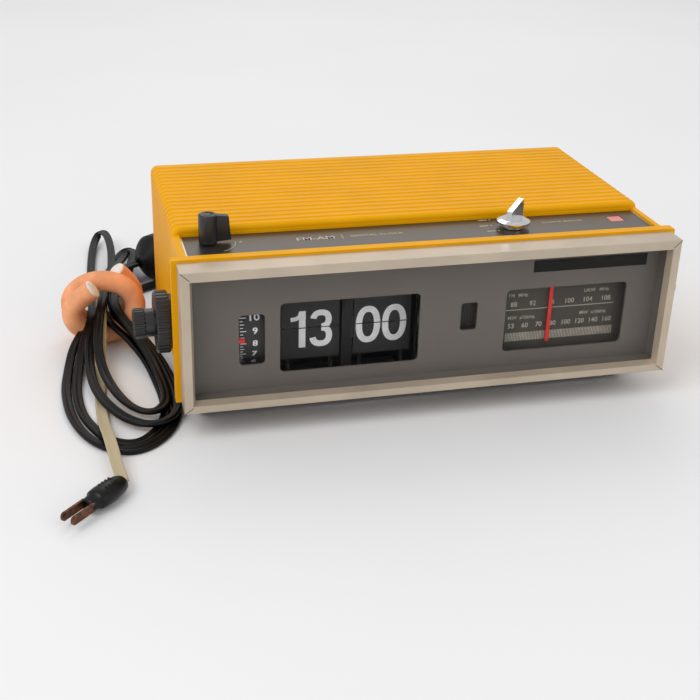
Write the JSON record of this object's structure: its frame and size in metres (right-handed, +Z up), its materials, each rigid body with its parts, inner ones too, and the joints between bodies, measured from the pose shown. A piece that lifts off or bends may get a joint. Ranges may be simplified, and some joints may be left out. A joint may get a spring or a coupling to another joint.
{
  "type": "clock radio",
  "caption": "Table clock radio in a ribbed yellow case with a split-leaf clock, tuning dial, end and top knobs, and a bundled mains cord and aerial lead.",
  "frame": {"origin": "on the table under the middle of the set, between its feet, measured without the cords", "axes": "+X to the right along the front, -Y out of the front, +Z up"},
  "size_m": [0.3928, 0.414, 0.121],
  "materials": {
    "cabinet_yellow": "yellow moulded plastic, soft gloss",
    "bezel_silver": "satin champagne silver",
    "lens_smoke": "clear smoke glazing, glossy",
    "mask_brown": "dark brown-grey, matt",
    "base_black": "black, lightly grained",
    "foot_rubber": "black, matt",
    "screw_steel": "bright zinc",
    "shaft_steel": "ground steel",
    "plate_dark": "dark anodised, glossy",
    "jewel_pink": "faceted pink-red",
    "knob_black": "black, semi-gloss",
    "knob_chrome": "polished",
    "drum_black": "black with white printing",
    "pointer_red": "signal red",
    "leaf_black": "black with white numerals",
    "wheel_white": "natural nylon",
    "pinion_brass": "turned brass",
    "motor_can": "zinc plated can",
    "dial_black": "black with pale printing",
    "rail_steel": "bright wire",
    "needle_red": "signal red",
    "lamp_glass": "clear bulb",
    "gang_aluminium": "plain vanes and frame",
    "core_iron": "varnished laminations",
    "winding_yellow": "varnished paper",
    "speaker_steel": "zinc plated",
    "cone_paper": "black pulp paper",
    "board_brown": "phenolic board",
    "part_metal": "tinned cans and sleeved parts",
    "ferrite_grey": "ferrite with paper sleeves",
    "cord_black": "black, smooth vinyl",
    "pin_nickel": "nickel plated",
    "tie_orange": "orange foam",
    "ribbon_tan": "tan, matt",
    "fm_plug_black": "black, ribbed grip"
  },
  "bodies": {
    "set": {"aerial_terminal": "base_black", "alarm_pointer": "pointer_red", "board_parts": "part_metal", "cabinet": "cabinet_yellow", "centre_post": "screw_steel", "chassis_base": "base_black", "clock_frame": "screw_steel", "clock_motor": "motor_can", "cord_gland": "foot_rubber", "cord_tie": "tie_orange", "dial_scale": "dial_black", "feet": "foot_rubber", "ferrite_aerial": "ferrite_grey", "fm_lead": "ribbon_tan", "fm_plug": "fm_plug_black", "front_bezel": "bezel_silver", "front_lens": "lens_smoke", "front_mask": "mask_brown", "indicator_jewel": "jewel_pink", "lamps": "lamp_glass", "lower_leaves": "leaf_black", "main_board": "board_brown", "mains_cord": "cord_black", "mains_hank": "cord_black", "mains_plug": "cord_black", "nameplate": "plate_dark", "needle_rail": "rail_steel", "pilot_window": "mask_brown", "plug_cord": "cord_black", "plug_pins": "pin_nickel", "rear_cover": "base_black", "rear_screws": "screw_steel", "selector_switch": "motor_can", "shaft_brackets": "screw_steel", "sleep_timer": "motor_can", "speaker_basket": "speaker_steel", "speaker_cone": "cone_paper", "top_plate": "plate_dark", "transformer_core": "core_iron", "transformer_winding": "winding_yellow", "tuning_gang": "gang_aluminium", "volume_control": "shaft_steel"},
    "sleep_control": {"sleep_knob": "knob_black"},
    "selector": {"selector_knob": "knob_chrome"},
    "alarm_set": {"alarm_set_wheel": "knob_black", "alarm_sleeve": "shaft_steel", "alarm_drum": "drum_black"},
    "time_set": {"time_set_knob": "knob_black", "time_set_spindle": "shaft_steel"},
    "tuning": {"tuning_wheel": "knob_black", "tuning_sleeve": "shaft_steel"},
    "volume": {"volume_knob": "knob_black", "volume_spindle": "shaft_steel"},
    "hour_drum": {"hour_wheel": "wheel_white"},
    "minute_drum": {"minute_wheel": "wheel_white"},
    "pinion": {"motor_pinion": "pinion_brass"},
    "hour_leaf": {"hour_upper_leaf": "leaf_black"},
    "minute_leaf": {"minute_upper_leaf": "leaf_black"},
    "needle": {"dial_needle": "needle_red"},
    "gang_drum": {"tuning_drum": "wheel_white"}
  },
  "joints": [
    {"name": "sleep_turn", "type": "hinge", "parent": "set", "child": "sleep_control", "pos_m": [-0.127, -0.045, 0.1], "axis": [0, 0, 1], "range_deg": [-225, 0]},
    {"name": "selector_turn", "type": "hinge", "parent": "set", "child": "selector", "pos_m": [0.056, -0.0505, 0.1], "axis": [0, 0, 1], "range_deg": [-97, 0]},
    {"name": "alarm_set_turn", "type": "hinge", "parent": "set", "child": "alarm_set", "pos_m": [0, -0.0425, 0.056], "axis": [1, 0, 0], "continuous": true},
    {"name": "time_set_turn", "type": "hinge", "parent": "set", "child": "time_set", "pos_m": [0, -0.0425, 0.056], "axis": [1, 0, 0], "continuous": true},
    {"name": "tuning_turn", "type": "hinge", "parent": "set", "child": "tuning", "pos_m": [0, -0.0425, 0.056], "axis": [1, 0, 0], "range_deg": [-318, 540]},
    {"name": "volume_turn", "type": "hinge", "parent": "set", "child": "volume", "pos_m": [0, -0.0425, 0.056], "axis": [1, 0, 0], "range_deg": [-300, 0]},
    {"name": "hour_drum_turn", "type": "hinge", "parent": "set", "child": "hour_drum", "pos_m": [0, -0.04, 0.0505], "axis": [1, 0, 0], "continuous": true},
    {"name": "minute_drum_turn", "type": "hinge", "parent": "set", "child": "minute_drum", "pos_m": [0, -0.04, 0.0505], "axis": [1, 0, 0], "continuous": true},
    {"name": "pinion_turn", "type": "hinge", "parent": "set", "child": "pinion", "pos_m": [0, -0.0249, 0.0505], "axis": [1, 0, 0], "continuous": true},
    {"name": "hour_leaf_fall", "type": "hinge", "parent": "set", "child": "hour_leaf", "pos_m": [0, -0.05975, 0.0526], "axis": [1, 0, 0], "range_deg": [0, 180]},
    {"name": "minute_leaf_fall", "type": "hinge", "parent": "set", "child": "minute_leaf", "pos_m": [0, -0.05975, 0.0526], "axis": [1, 0, 0], "range_deg": [0, 180]},
    {"name": "needle_slide", "type": "slide", "parent": "set", "child": "needle", "axis": [1, 0, 0], "range_m": [-0.025, 0.0425]},
    {"name": "gang_turn", "type": "hinge", "parent": "set", "child": "gang_drum", "pos_m": [0, 0.003, 0.047], "axis": [1, 0, 0], "range_deg": [-66.5, 113]}
  ],
  "couplings": [
    {"joint": "minute_drum_turn", "follows": "time_set_turn", "ratio": 1},
    {"joint": "hour_drum_turn", "follows": "time_set_turn", "ratio": 0.041667},
    {"joint": "pinion_turn", "follows": "time_set_turn", "ratio": -4},
    {"joint": "needle_slide", "follows": "tuning_turn", "m_per_rad": 0.0045},
    {"joint": "gang_turn", "follows": "tuning_turn", "ratio": 0.20833}
  ]
}
